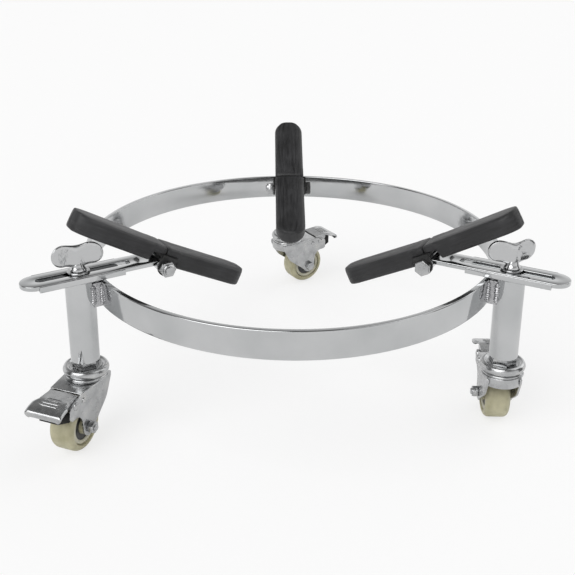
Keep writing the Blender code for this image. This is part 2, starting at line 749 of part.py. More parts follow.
def pedal_skin():
    """Side view of the pedal's top face, from the plate to its tip, about the brake pin."""
    dx, dz = BRAKE_PIN_OFFSET, BRAKE_PIN_DROP
    start = (PEDAL_START - dx, dz - PLATE_DROP)
    crest = (0.0100, dz - PLATE_DROP + 0.0008)
    slope = (PEDAL_TIP - dx - 0.0060, dz - PLATE_DROP - 0.0012)
    tip = (PEDAL_TIP - dx, dz - PLATE_DROP - 0.0036)
    return [start, crest, slope, tip]


def make_pedal(lever, station):
    """Brake pedal: folded plate that flares behind the ears, with cheeks on the brake pin.

    The plate is a row of cross sections, each a top point, a bottom point and a half
    width, from its front edge over the flare to the foot of the turned-down lip.
    """
    skin = pedal_skin()
    wall = PEDAL_THICKNESS
    narrow = FORK_WIDTH / 2 - FORK_WALL - GAP
    wide = PEDAL_WIDTH / 2
    ear_end = EAR_REACH - BRAKE_PIN_OFFSET
    join = ear_end + 2 * GAP
    tip = skin[-1]
    lip = (tip[0] - 0.0008, tip[1] - PEDAL_LIP)
    rows = [(skin[0], (skin[0][0], skin[0][1] - wall), narrow)]
    for x, half in ((join, narrow), (join + GAP, wide), (skin[2][0], wide)):
        z = height_on(skin, x)
        rows.append(((x, z), (x, z - wall), half))
    rows.append((tip, (tip[0] - wall, tip[1] - wall * 0.8), wide))
    rows.append((lip, (lip[0] - wall, lip[1]), wide))
    bm = bmesh.new()
    loops = []
    for (x0, z0), (x1, z1), half in rows:
        corners = [(x0, -half, z0), (x0, half, z0), (x1, half, z1), (x1, -half, z1)]
        loops.append([bm.verts.new(corner) for corner in corners])
    bm.faces.new(loops[0])
    bm.faces.new(list(reversed(loops[-1])))
    for here, there in zip(loops, loops[1:]):
        for i in range(4):
            j = (i + 1) % 4
            bm.faces.new((here[i], there[i], there[j], here[j]))
    pedal = piece(f"brake_pedal_{station}", mesh_from("brake_pedal", bm), ZINC, lever)
    front = skin[0][0] + GAP
    back = ear_end - 2 * GAP
    cheek = [(front, skin[0][1] - wall / 2), (back, height_on(skin, back) - wall / 2)]
    cheek += [(back, -BRAKE_PIN_RADIUS)]
    cheek += arc((0.0, 0.0), 2 * BRAKE_PIN_RADIUS, -45, -150, 5)
    for side in (-1, 1):
        near, far = sorted((side * (narrow - wall), side * narrow))
        combine(pedal, mesh_from("pedal_cheek", prism(cheek, near, far, axis="y")), "UNION")
    bore = turned_rod(BRAKE_PIN_RADIUS + GAP, -2 * PEDAL_WIDTH, 2 * PEDAL_WIDTH, COARSE, axis="y")
    combine(pedal, bore, "DIFFERENCE")


def height_on(skin, x):
    """Height of the pedal's top face at a given place along it."""
    for (x0, z0), (x1, z1) in zip(skin, skin[1:]):
        if x0 <= x <= x1:
            return z0 + (z1 - z0) * (x - x0) / (x1 - x0)
    return skin[-1][1]


def make_shoe(lever, station):
    """Brake shoe: rubber block under the pedal, hollowed to the wheel's tread."""
    skin = pedal_skin()
    wall = PEDAL_THICKNESS + GAP
    wheel = (AXLE_OFFSET - BRAKE_PIN_OFFSET, BRAKE_PIN_DROP - AXLE_DROP)
    front = BRAKE_PIN_RADIUS + GAP + 0.0016
    back = PEDAL_TIP - BRAKE_PIN_OFFSET - PEDAL_THICKNESS - 0.0062
    outline = [(front, height_on(skin, front) - wall), (back, height_on(skin, back) - wall)]
    outline += [(back, wheel[1] + WHEEL_RADIUS * 0.92)]
    outline += arc(wheel, WHEEL_RADIUS + GAP, 36, 52, 4)
    outline += [(front, wheel[1] + WHEEL_RADIUS * 1.08)]
    mesh = mesh_from("brake_shoe", prism(outline, -SHOE_WIDTH / 2, SHOE_WIDTH / 2, axis="y"))
    piece(f"brake_shoe_{station}", mesh, SHOE_RUBBER, lever)


def make_station(stand, station, azimuth, wing_turn, caster_turn):
    """One leg with its guide, arm, pad and caster."""
    outward = Matrix.Rotation(radians(azimuth), 4, "Z")
    arm_frame = empty(f"arm_frame_{station}", stand, outward)
    lean = Matrix.Translation((LEG_RADIUS, 0, 0)) @ Matrix.Rotation(-LEG_LEAN, 4, "Y")
    leg = empty(f"leg_frame_{station}", arm_frame, lean)
    make_tube(leg, station)
    make_spacer(arm_frame, station)
    make_guide(arm_frame, station)

    slider = empty(f"slider_{station}", arm_frame)
    make_arm(slider, station)
    clamp = empty(f"clamp_axis_{station}", arm_frame, Matrix.Translation((LEG_RADIUS, 0, 0)))
    make_washer(clamp, station)
    wing_axis = empty(f"wing_axis_{station}", clamp, Matrix.Rotation(radians(wing_turn), 4, "Z"))
    make_wing_bolt(wing_axis, station)
    pad = empty(f"pad_axis_{station}", slider, Matrix.Translation((PIVOT_RADIUS, 0, PIVOT_RISE)))
    make_pad_core(pad, station)
    make_sleeve(pad, station, "outer_pad", PAD_SEAM_GAP / 2, PAD_OUTER_LENGTH)
    make_sleeve(pad, station, "inner_pad", -PAD_SEAM_GAP / 2, -PAD_INNER_LENGTH)
    make_pivot_bolt(pad, station)

    make_race(leg, station)
    make_stem(leg, station)
    caster = empty(f"caster_axis_{station}", leg, Matrix.Rotation(radians(caster_turn), 4, "Z"))
    make_fork(caster, station)
    axle = empty(f"axle_{station}", caster, Matrix.Translation((AXLE_OFFSET, 0, -AXLE_DROP)))
    make_wheel(axle, station)
    make_axle(axle, station)
    brake = Matrix.Translation((BRAKE_PIN_OFFSET, 0, -BRAKE_PIN_DROP))
    lever = empty(f"brake_axis_{station}", caster, brake)
    make_pedal(lever, station)
    make_shoe(lever, station)


def rest_on_floor(stand):
    """Move the stand so that its origin is the middle of its footprint, on the floor."""
    bpy.context.view_layer.update()
    graph = bpy.context.evaluated_depsgraph_get()
    lows, highs = [], []
    for thing in bpy.data.objects:
        if thing.type != "MESH" or thing.hide_render:
            continue
        shape = thing.evaluated_get(graph)
        corners = [shape.matrix_world @ vert.co for vert in shape.data.vertices]
        lows.append([min(c[i] for c in corners) for i in range(3)])
        highs.append([max(c[i] for c in corners) for i in range(3)])
    low = [min(point[i] for point in lows) for i in range(3)]
    high = [max(point[i] for point in highs) for i in range(3)]
    stand.location = (-(low[0] + high[0]) / 2, -(low[1] + high[1]) / 2, -low[2])
    bpy.context.view_layer.update()


def main():
    clear_scene()
    stand = empty("stand")
    make_ring(stand)
    for i, azimuth in enumerate(LEG_AZIMUTHS):
        make_station(stand, i + 1, azimuth, WING_TURNS[i], CASTER_TURNS[i])
    rest_on_floor(stand)


main()
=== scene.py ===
"""Looks of a rolling conga cradle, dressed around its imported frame.

Every new surface is a grid of points worked out with numpy in the frame of the piece's own
joint, then moved to its place. Lengths are in metres.
"""

import json
from math import cos, pi, radians, sin, sqrt, tan

import bmesh
import bpy
import numpy as np
from mathutils import Matrix


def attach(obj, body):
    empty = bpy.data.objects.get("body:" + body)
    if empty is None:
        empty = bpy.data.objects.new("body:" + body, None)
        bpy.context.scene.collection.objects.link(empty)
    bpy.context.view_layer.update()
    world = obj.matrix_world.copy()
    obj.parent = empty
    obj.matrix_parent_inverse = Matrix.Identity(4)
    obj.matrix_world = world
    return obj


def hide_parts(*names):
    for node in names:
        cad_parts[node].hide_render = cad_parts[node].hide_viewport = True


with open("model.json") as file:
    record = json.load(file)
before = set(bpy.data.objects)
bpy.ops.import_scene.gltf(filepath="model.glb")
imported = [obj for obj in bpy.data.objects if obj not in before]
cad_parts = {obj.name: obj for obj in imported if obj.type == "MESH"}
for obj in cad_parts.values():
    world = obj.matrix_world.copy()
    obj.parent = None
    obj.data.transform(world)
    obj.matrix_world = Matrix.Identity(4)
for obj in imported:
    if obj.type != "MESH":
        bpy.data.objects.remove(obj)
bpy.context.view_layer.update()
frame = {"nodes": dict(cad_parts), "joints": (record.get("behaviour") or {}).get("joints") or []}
JOINTS = {joint["name"]: joint for joint in frame["joints"]}
STATIONS = (1, 2, 3)
GAP = 0.0003

# Ring and legs
LEG_RADIUS = 0.2136
RING_RADIUS = 0.2000
RING_HEIGHT = 0.0254
RING_WALL = 0.0048
RING_PULL = 0.0016
TUBE_RADIUS = 0.0127
TUBE_WALL = 0.0016
TUBE_DROP = 0.0756
NOTCH_HEIGHT = 0.0140
NOTCH_WIDTH = 0.0060
NOTCH_BEARING = radians(60.0)
SPACER_WIDTH = 0.0200
SPACER_HEIGHT = 0.0220

# Channel and arm
GUIDE_LENGTH = 0.0730
GUIDE_WALL = 0.0015
GUIDE_LIP = 0.0054
GUIDE_RISE = 0.0018
ARM_WIDTH = 0.0254
ARM_THICKNESS = 0.0040
ARM_TIP = 0.2630
SLOT_START = 0.1680
SLOT_END = 0.2500
SLOT_WIDTH = 0.0086
KNUCKLE_RADIUS = 0.0063

# Wing bolt
STUD_RADIUS = 0.0040
STUD_LENGTH = 0.0240
NECK_RADIUS = 0.0062
NECK_HEIGHT = 0.0054
WASHER_RADIUS = 0.0095
WASHER_THICKNESS = 0.0016
WING_REACH = 0.0120
WING_ROUND = 0.0095
WING_THICKNESS = 0.0042
WING_FOLD = radians(14.0)
WING_DIP = 0.0022
WING_TURNS = (8.0, -6.0, 38.0)

# Pads
PAD_WIDTH = 0.0320
PAD_THICKNESS = 0.0168
PAD_OUTER_LENGTH = 0.0865
PAD_INNER_LENGTH = 0.0880
PAD_OUTER_ANGLE = radians(31.2)
PAD_INNER_ANGLE = radians(27.6)
PAD_END_ROUND = 0.0155
PAD_EDGE = 0.0034
PIVOT_DEPTH = 0.0174
SEAM_OFFSET = 0.0037
SEAM_GAP = 0.0008
RELIEF_LENGTH = 0.0130
CORE_BOTTOM = 0.0080
STRAP_THICKNESS = 0.0022

# Casters
RACE_DROP = 0.0844
RACE_RADIUS = 0.0205
RACE_HEIGHT = 0.0078
PLATE_DROP = 0.0912
PLATE_THICKNESS = 0.0020
PLATE_RADIUS = 0.0195
PLATE_REACH = 0.0330
FORK_WIDTH = 0.0310
FORK_WALL = 0.0020
APRON_DROP = 0.0095
EAR_REACH = 0.0500
EAR_DROP = 0.0190
AXLE_DROP = 0.1292
AXLE_OFFSET = 0.0240
WHEEL_RADIUS = 0.0240
WHEEL_WIDTH = 0.0230
WHEEL_ROUND = 0.0050
PEDAL_START = 0.0358
PEDAL_TIP = 0.0680
PEDAL_WIDTH = 0.0346
PEDAL_THICKNESS = 0.0018
PEDAL_LIP = 0.0050
BRAKE_PIN_OFFSET = 0.0420
BRAKE_PIN_DROP = 0.0980
RIVETS = ((BRAKE_PIN_OFFSET, -BRAKE_PIN_DROP, 0.0036), (0.0300, -0.0985, 0.0027))

# Camera, measured from the middle of the ring's top
CAMERA_PLACE = (-0.02175, -0.69809, 0.26955)
CAMERA_YAW = 0.0240
CAMERA_PITCH = -0.4389
CAMERA_ROLL = 0.0045
CAMERA_LENS = 47.43

# Studio: white floor and horizon, and a ceiling that mirrors see darken with height
WORLD_LEVEL = 0.45
FLOOR_SIZE = 12.0
FLOOR_GLOW = 0.7
CEILING = ((0.0, 1.0), (0.30, 0.95), (0.62, 0.32), (1.0, 0.10))


def unit(vector):
    """The same direction with length one."""
    vector = np.array(vector, float)
    return vector / np.linalg.norm(vector)


def frame_at(origin, x, y, z):
    """A place and three directions as one matrix."""
    matrix = np.eye(4)
    matrix[:3, 0], matrix[:3, 1], matrix[:3, 2], matrix[:3, 3] = x, y, z, origin
    return matrix


def leg_frame(s):
    """On the leg's leaning axis, level with the ring's top, X outward."""
    swivel = JOINTS[f"caster_swivel_{s}"]
    z = unit(swivel["axis"])
    y = np.cross((0, 0, 1), unit(JOINTS[f"arm_slide_{s}"]["axis"]))
    return frame_at(np.array(swivel["pos_m"]) + z * PLATE_DROP, np.cross(y, z), y, z)


RING_CENTRE = np.mean([leg_frame(s)[:3, 3] for s in STATIONS], axis=0)


def station_frame(s):
    """At the middle of the ring's top, X outward along one arm."""
    x = unit(JOINTS[f"arm_slide_{s}"]["axis"])
    return frame_at(RING_CENTRE, x, np.cross((0, 0, 1), x), (0, 0, 1))


def moved(matrix, place):
    """The same directions at another place, given in world coordinates."""
    shifted = matrix.copy()
    shifted[:3, 3] = place
    return shifted


def caster_frame(s):
    """On the leg's axis, X towards the wheel's trailing side."""
    leg = leg_frame(s)
    y = unit(JOINTS[f"wheel_roll_{s}"]["axis"])
    return frame_at(leg[:3, 3], np.cross(y, leg[:3, 2]), y, leg[:3, 2])


def spun(matrix, degrees):
    """A frame turned about its own Z."""
    return matrix @ np.array(Matrix.Rotation(radians(degrees), 4, "Z"))


def place(matrix, points):
    """Points of a local grid, moved into the world."""
    return points @ matrix[:3, :3].T + matrix[:3, 3]


def surface(name, matrix, points, wrap_u=False, wrap_v=False, caps=False, uv=None, sharp=35.0):
    """Quads over a grid of local points, with wrapped directions closed and open rows capped."""
    nu, nv = points.shape[:2]
    index = np.arange(nu * nv).reshape(nu, nv)
    rows = np.vstack([index, index[:1]]) if wrap_u else index
    rows = np.hstack([rows, rows[:, :1]]) if wrap_v else rows
    quads = np.stack([rows[:-1, :-1], rows[1:, :-1], rows[1:, 1:], rows[:-1, 1:]], axis=-1).reshape(-1, 4)
    faces = quads.tolist()
    if caps:
        faces += [index[0].tolist(), index[-1][::-1].tolist()]
    mesh = bpy.data.meshes.new(name)
    mesh.from_pydata(place(matrix, points).reshape(-1, 3), [], faces)
    if uv is not None:
        layer = mesh.uv_layers.new(name="UVMap")
        corners = np.zeros(len(mesh.loops), int)
        mesh.loops.foreach_get("vertex_index", corners)
        layer.data.foreach_set("uv", uv.reshape(-1, 2)[corners].ravel())
    bm = bmesh.new()
    bm.from_mesh(mesh)
    bmesh.ops.remove_doubles(bm, verts=bm.verts, dist=1e-6)
    bmesh.ops.recalc_face_normals(bm, faces=bm.faces)
    bm.to_mesh(mesh)
    bm.free()
    mesh.shade_smooth()
    mesh.set_sharp_from_angle(angle=radians(sharp))
    thing = bpy.data.objects.new(name, mesh)
    bpy.context.scene.collection.objects.link(thing)
    return thing


def dress(thing, body, material, slot, *nodes):
    """Give a piece its finish, its body and the nodes that it stands for."""
    thing.data.materials.clear()
    thing.data.materials.append(material)
    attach(thing, body)
    if nodes:
        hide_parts(*nodes)
    return thing


def turned(name, matrix, profile, steps=96, axis=2, closed=True):
    """A closed profile of radius and height carried round an axis: x = r cos a, y = r sin a."""
    profile = np.array(profile)
    a = np.linspace(0, 2 * pi, steps, endpoint=False)[:, None]
    r, h = profile[None, :, 0], np.broadcast_to(profile[None, :, 1], (steps, len(profile)))
    if axis == 2:
        points = np.stack([r * np.cos(a), r * np.sin(a), h], axis=-1)
    else:
        points = np.stack([r * np.sin(a), h, r * np.cos(a)], axis=-1)
    return surface(name, matrix, points, wrap_u=True, wrap_v=closed)


def rounded(corners, radius, steps=4, closed=True):
    """A polyline whose corners are replaced by arcs, read from a quadratic through each corner."""
    corners = np.array(corners, float)
    count = len(corners)
    radii = np.broadcast_to(radius, count)
    points = []
    for i, corner in enumerate(corners):
        if not closed and i in (0, count - 1):
            points.append(corner)
            continue
        before, after = corners[i - 1] - corner, corners[(i + 1) % count] - corner
        reach = min(radii[i], 0.48 * np.linalg.norm(before), 0.48 * np.linalg.norm(after))
        start, end = corner + unit(before) * reach, corner + unit(after) * reach
        for t in np.linspace(0, 1, steps + 1):
            points.append((1 - t) ** 2 * start + 2 * t * (1 - t) * corner + t**2 * end)
    return np.array(points)


def arc(centre, radius, start, end, steps):
    """Points along an arc, in degrees."""
    a = np.radians(np.linspace(start, end, steps + 1))
    return np.stack([centre[0] + radius * np.cos(a), centre[1] + radius * np.sin(a)], axis=-1)


def offset(outline, distance):
    """A closed outline moved inwards along the mean normal at each of its points."""
    tangent = np.roll(outline, -1, axis=0) - np.roll(outline, 1, axis=0)
    tangent /= np.linalg.norm(tangent, axis=1, keepdims=True) + 1e-12
    x, y = outline[:, 0], outline[:, 1]
    area = np.sum(x * np.roll(y, -1) - np.roll(x, -1) * y)
    inward = np.stack([-tangent[:, 1], tangent[:, 0]], axis=-1) * np.sign(area)
    return outline + inward * distance


def edge_rows(low, high, edge, steps=3):
    """Inset and height of each row of a plate's rounded rim, from its low face to its high one."""
    a = np.linspace(0, pi / 2, steps + 1)
    below = [(edge * (1 - sin(t)), low + edge * (1 - cos(t))) for t in a]
    above = [(edge * (1 - cos(t)), high - edge * (1 - sin(t))) for t in a]
    return below + above


def spread(points, heights, axis):
    """Flat rows and their heights as points in space, the height lying along one axis."""
    heights = np.broadcast_to(np.array(heights)[:, None], points.shape[:2])
    order = {"x": (2, 0, 1), "y": (0, 2, 1), "z": (0, 1, 2)}[axis]
    parts = (points[..., 0], points[..., 1], heights)
    return np.stack([parts[i] for i in order], axis=-1)


def plate(name, matrix, outline, low, high, edge, axis="z", steps=3):
    """A flat outline given a thickness: each row is the outline moved in by a quarter circle's depth."""
    rows = edge_rows(low, high, edge, steps)
    points = np.stack([offset(outline, inset) for inset, _ in rows])
    return surface(name, matrix, spread(points, [h for _, h in rows], axis), wrap_v=True, caps=True)


def even(outline, count):
    """A closed outline at even steps of its length."""
    loop = np.vstack([outline, outline[:1]])
    length = np.concatenate([[0], np.cumsum(np.linalg.norm(np.diff(loop, axis=0), axis=1))])
    t = np.linspace(0, length[-1], count, endpoint=False)
    return np.stack([np.interp(t, length, loop[:, k]) for k in (0, 1)], axis=-1)


def band(name, matrix, outer, inner, low, high, edge, axis="z"):
    """A plate with a hole: rounded rim outside, flat top, rounded rim inside, flat underside."""
    rows = edge_rows(low, high, edge)
    outside = [(offset(outer, inset), h) for inset, h in rows]
    inside = [(offset(inner, -inset), h) for inset, h in reversed(rows)]
    points = np.stack([p for p, _ in outside + inside])
    return surface(name, matrix, spread(points, [h for _, h in outside + inside], axis), True, True)


def hexagon(flats, turn=0.0):
    """Outline of a hexagon with slightly rounded corners."""
    a = turn + np.arange(6) * pi / 3
    corner = flats / sqrt(3)
    return rounded(np.stack([corner * np.cos(a), corner * np.sin(a)], axis=-1), flats * 0.05, 3)


class Finish:
    """A node material with short calls for the nodes that these finishes share."""

    def __init__(self, name, colour, roughness, metallic=0.0):
        self.material = bpy.data.materials.new(name)
        self.material.use_nodes = True
        self.nodes = self.material.node_tree.nodes
        self.links = self.material.node_tree.links
        self.shader = self.nodes["Principled BSDF"]
        self.shader.inputs["Base Color"].default_value = (*colour, 1)
        self.shader.inputs["Roughness"].default_value = roughness
        self.shader.inputs["Metallic"].default_value = metallic
        self.coords = self.nodes.new("ShaderNodeTexCoord")

    def noise(self, scale, detail=3.0, stretch=None, source="Object"):
        """Noise at so many cycles a metre, stretched where asked."""
        noise = self.nodes.new("ShaderNodeTexNoise")
        noise.inputs["Scale"].default_value = scale
        noise.inputs["Detail"].default_value = detail
        out = self.coords.outputs[source]
        if stretch:
            mapping = self.nodes.new("ShaderNodeMapping")
            mapping.inputs["Scale"].default_value = stretch
            self.links.new(out, mapping.inputs["Vector"])
            out = mapping.outputs["Vector"]
        self.links.new(out, noise.inputs["Vector"])
        return noise.outputs["Fac"]

    def ramp(self, value, stops):
        """Colours or greys read along a value."""
        ramp = self.nodes.new("ShaderNodeValToRGB")
        while len(ramp.color_ramp.elements) < len(stops):
            ramp.color_ramp.elements.new(0.5)
        for element, (at, colour) in zip(ramp.color_ramp.elements, stops):
            element.position = at
            grey = not isinstance(colour, tuple)
            element.color = (colour, colour, colour, 1) if grey else (*colour, 1)
        self.links.new(value, ramp.inputs["Fac"])
        return ramp.outputs["Color"]

    def colour(self, value):
        self.links.new(value, self.shader.inputs["Base Color"])

    def roughness(self, value):
        self.links.new(value, self.shader.inputs["Roughness"])

    def bump(self, *layers):
        """Stack bump layers of (height, distance in metres, strength)."""
        normal = None
        for height, distance, strength in layers:
            bump = self.nodes.new("ShaderNodeBump")
            bump.inputs["Distance"].default_value = distance
            bump.inputs["Strength"].default_value = strength
            self.links.new(height, bump.inputs["Height"])
            if normal:
                self.links.new(normal, bump.inputs["Normal"])
            normal = bump.outputs["Normal"]
        self.links.new(normal, self.shader.inputs["Normal"])


def chrome_plate():
    """Polished plate: faint orange peel, hazy patches and fine handling marks."""
    finish = Finish("polished_chrome", (0.55, 0.556, 0.56), 0.08, 1.0)
    haze = finish.noise(38, 4)
    finish.roughness(finish.ramp(haze, [(0.35, 0.05), (0.75, 0.15)]))
    tone = finish.noise(22, 4)
    finish.colour(finish.ramp(tone, [(0.3, (0.49, 0.50, 0.505)), (0.7, (0.58, 0.585, 0.59))]))
    finish.bump((finish.noise(130, 2), 0.0004, 0.05), (finish.noise(900, 2, (1, 1, 0.15)), 0.0001, 0.06))
    return finish.material


def cast_chrome():
    """Chrome over a die casting: soft dimples and duller hollows."""
    finish = Finish("cast_chrome", (0.54, 0.545, 0.55), 0.2, 1.0)
    grain = finish.noise(420, 4)
    finish.roughness(finish.ramp(grain, [(0.3, 0.10), (0.7, 0.22)]))
    finish.bump((finish.noise(160, 3), 0.0012, 0.45), (grain, 0.0002, 0.15))
    return finish.material


def zinc_plate():
    """Bright zinc on pressed steel: mottled tone, drawn marks and duller spots."""
    finish = Finish("zinc_plate", (0.50, 0.505, 0.51), 0.25, 1.0)
    cloud = finish.noise(110, 5)
    tones = [(0.3, (0.40, 0.405, 0.41)), (0.55, (0.50, 0.505, 0.51)), (0.8, (0.58, 0.575, 0.56))]
    finish.colour(finish.ramp(cloud, tones))
    finish.roughness(finish.ramp(finish.noise(260, 4), [(0.3, 0.16), (0.75, 0.32)]))
    finish.bump((finish.noise(140, 3), 0.0006, 0.16), (finish.noise(1500, 2), 0.0001, 0.06))
    return finish.material


def pad_rubber():
    """Black moulded rubber: long faint streaks, fine grain and a dusty bloom."""
    finish = Finish("pad_rubber", (0.02, 0.02, 0.021), 0.55)
    streak = finish.noise(1.0, 4, (35, 900, 1), "UV")
    bloom = finish.noise(45, 5)
    dusty = finish.nodes.new("ShaderNodeMixRGB")
    dusty.blend_type = "MULTIPLY"
    dusty.inputs["Fac"].default_value = 1.0
    tone = finish.ramp(bloom, [(0.35, (0.009, 0.009, 0.010)), (0.75, (0.025, 0.025, 0.027))])
    finish.links.new(tone, dusty.inputs["Color1"])
    finish.links.new(finish.ramp(streak, [(0.35, 0.55), (0.65, 1.5)]), dusty.inputs["Color2"])
    finish.colour(dusty.outputs["Color"])
    finish.roughness(finish.ramp(streak, [(0.35, 0.34), (0.7, 0.62)]))
    finish.bump((streak, 0.0005, 0.55), (finish.noise(1400, 2), 0.0001, 0.25))
    finish.shader.inputs["Specular IOR Level"].default_value = 0.55
    return finish.material


def black_plate(name, tone, roughness):
    """Dark satin coating over steel with slightly worn patches."""
    finish = Finish(name, (tone, tone, tone), roughness, 0.6)
    wear = finish.noise(260, 5)
    finish.colour(finish.ramp(wear, [(0.4, tone), (0.85, tone * 2.2)]))
    finish.roughness(finish.ramp(wear, [(0.3, roughness - 0.06), (0.8, roughness + 0.12)]))
    finish.bump((finish.noise(900, 3), 0.0002, 0.2),)
    return finish.material


def cream_nylon(name, pale, deep):
    """Waxy cream nylon, clouded and a little grimy."""
    finish = Finish(name, pale, 0.36)
    cloud = finish.noise(95, 5)
    finish.colour(finish.ramp(cloud, [(0.3, deep), (0.65, pale)]))
    finish.roughness(finish.ramp(finish.noise(400, 3), [(0.3, 0.28), (0.75, 0.48)]))
    finish.bump((finish.noise(700, 3), 0.0002, 0.2),)
    finish.shader.inputs["Subsurface Weight"].default_value = 0.12
    finish.shader.inputs["Subsurface Radius"].default_value = (0.003, 0.0024, 0.0016)
    return finish.material


def weld_metal():
    """Plated weld bead: rippled, lumpy and duller than the bar."""
    finish = Finish("weld_metal", (0.46, 0.46, 0.47), 0.26, 1.0)
    finish.bump((finish.noise(380, 4), 0.001, 0.5), (finish.noise(1200, 2), 0.0002, 0.3))
    finish.roughness(finish.ramp(finish.noise(500, 3), [(0.3, 0.18), (0.7, 0.4)]))
    return finish.material


CHROME = chrome_plate()
CAST = cast_chrome()
ZINC = zinc_plate()
RUBBER = pad_rubber()
BLACK_STEEL = black_plate("black_steel", 0.03, 0.42)
# Dark zinc for the hub shields, and painted shade on the first station's pivot head
BLACK_ZINC_AND_SHADE = black_plate("black_zinc", 0.06, 0.34)
NYLON = cream_nylon("wheel_nylon", (0.53, 0.50, 0.34), (0.38, 0.355, 0.225))
NYLON_PALE = cream_nylon("wheel_ring_nylon", (0.62, 0.60, 0.48), (0.52, 0.50, 0.39))
SHOE = black_plate("brake_rubber", 0.018, 0.6)
WELD = weld_metal()


def ring():
    """Hoop of flat bar: a rounded section carried round a circle drawn in at each leg.

    The radius is RING_RADIUS less RING_PULL times the cosine of three times the angle
    from the back leg.
    """
    half, tall = RING_WALL / 2, RING_HEIGHT
    corners = [(-half, 0), (half, 0), (half, -tall), (-half, -tall)]
    section = rounded(corners, 0.0011, 5)
    a = np.linspace(0, 2 * pi, 360, endpoint=False)[:, None]
    r = RING_RADIUS - RING_PULL * np.cos(3 * (a - pi / 2)) - half + section[None, :, 0]
    z = np.broadcast_to(section[None, :, 1], r.shape)
    points = np.stack([r * np.cos(a), r * np.sin(a), z], axis=-1)
    centre = frame_at(RING_CENTRE, (1, 0, 0), (0, 1, 0), (0, 0, 1))
    dress(surface("hoop", centre, points, True, True), "base", CHROME, "chrome", "ring")


def bead(name, matrix, path, radius, seed):
    """Weld bead: a circle carried along a path, its radius rippled like laid coins."""
    path = np.array(path, float)
    length = np.concatenate([[0], np.cumsum(np.linalg.norm(np.diff(path, axis=0), axis=1))])
    s = np.linspace(0, length[-1], 48)
    spine = np.stack([np.interp(s, length, path[:, k]) for k in range(3)], axis=-1)
    ripple = 1 + 0.16 * np.sin(s / 0.0021 * 2 * pi + seed) + 0.10 * np.sin(s / 0.0057 * 2 * pi + 2 * seed)
    taper = np.sqrt(np.clip(1 - (2 * s / length[-1] - 1) ** 8, 0.0, 1))
    size = radius * ripple * taper
    tangent = np.gradient(spine, axis=0)
    tangent /= np.linalg.norm(tangent, axis=1, keepdims=True)
    side = np.cross(tangent, (0.31, 0.92, 0.23))
    side /= np.linalg.norm(side, axis=1, keepdims=True)
    up = np.cross(side, tangent)
    v = np.linspace(0, 2 * pi, 16, endpoint=False)
    round_ = side[:, None] * np.cos(v)[None, :, None] + up[:, None] * np.sin(v)[None, :, None]
    return surface(name, matrix, spine[:, None] + round_ * size[:, None, None], wrap_v=True, caps=True)


def leg_tube(s):
    """Tube with a notched foot: the wall's foot rises linearly to the notch's apex.

    Going round at angle a, the foot's height is the tube's end plus the notch's height
    less the sideways distance from its middle over half its width, never below the end.
    """
    matrix = leg_frame(s)
    a = np.linspace(0, 2 * pi, 240, endpoint=False)
    away = np.abs((a - NOTCH_BEARING + pi) % (2 * pi) - pi) * TUBE_RADIUS
    foot = -TUBE_DROP + NOTCH_HEIGHT * np.clip(1 - away / (NOTCH_WIDTH / 2), 0, 1)
    lean = matrix[:3, 2]
    tilt = sqrt(1 - lean[2] ** 2) / lean[2]
    top = (GUIDE_RISE - GAP) / lean[2] - TUBE_RADIUS * np.cos(a) * tilt
    inner = TUBE_RADIUS - TUBE_WALL
    edge = 0.0004
    rows = [(inner, top * 0 - TUBE_DROP + 0.030), (inner, foot + edge), (inner + edge, foot)]
    rows += [(TUBE_RADIUS - edge, foot), (TUBE_RADIUS, foot + edge), (TUBE_RADIUS, top - edge)]
    rows += [(TUBE_RADIUS - edge, top), (inner * 0.45, top)]
    columns = [np.stack([r * np.cos(a), r * np.sin(a), z], axis=-1) for r, z in rows]
    points = np.stack(columns, axis=1)
    tube = surface(f"leg_{s}", matrix, points, wrap_u=True)
    dress(tube, "base", CHROME, "chrome", f"leg_tube_{s}")


def spacer(s):
    """Welded spacer between the ring and the tube, with rippled beads along its edges."""
    matrix = station_frame(s)
    top = -(RING_HEIGHT - SPACER_HEIGHT) / 2
    ring_face = RING_RADIUS - RING_PULL
    axis = LEG_RADIUS
    y = SPACER_WIDTH / 2 - 0.0004
    for k, side in enumerate((-1, 1)):
        for j, (x, r) in enumerate(((ring_face - 0.0005, 0.0021), (axis - 0.0080, 0.0024))):
            path = [(x, side * y, top - 0.0012), (x + 0.0008, side * y, top - SPACER_HEIGHT + 0.0014)]
            weld = bead(f"weld_{s}_{2 * k + j}", matrix, path, r, s + k + 2 * j)
            dress(weld, "base", WELD, "chrome")


def arm_guide(s):
    """Channel: a rounded U section carried along the arm."""
    half = ARM_WIDTH / 2 + GAP + GUIDE_WALL
    inside, floor = half - GUIDE_WALL, GUIDE_RISE + GUIDE_WALL
    top = GUIDE_RISE + GUIDE_LIP
    corners = [(-half, GUIDE_RISE), (half, GUIDE_RISE), (half, top), (inside, top)]
    corners += [(inside, floor), (-inside, floor), (-inside, top), (-half, top)]
    section = rounded(corners, [0.0012, 0.0012, 0.0005, 0.0005, 0.0005, 0.0005, 0.0005, 0.0005], 3)
    near = LEG_RADIUS - GUIDE_LENGTH / 2
    guide = plate(f"guide_{s}", station_frame(s), section, near, near + GUIDE_LENGTH, 0.0002, "x", 1)
    dress(guide, "base", CHROME, "chrome", f"arm_guide_{s}")


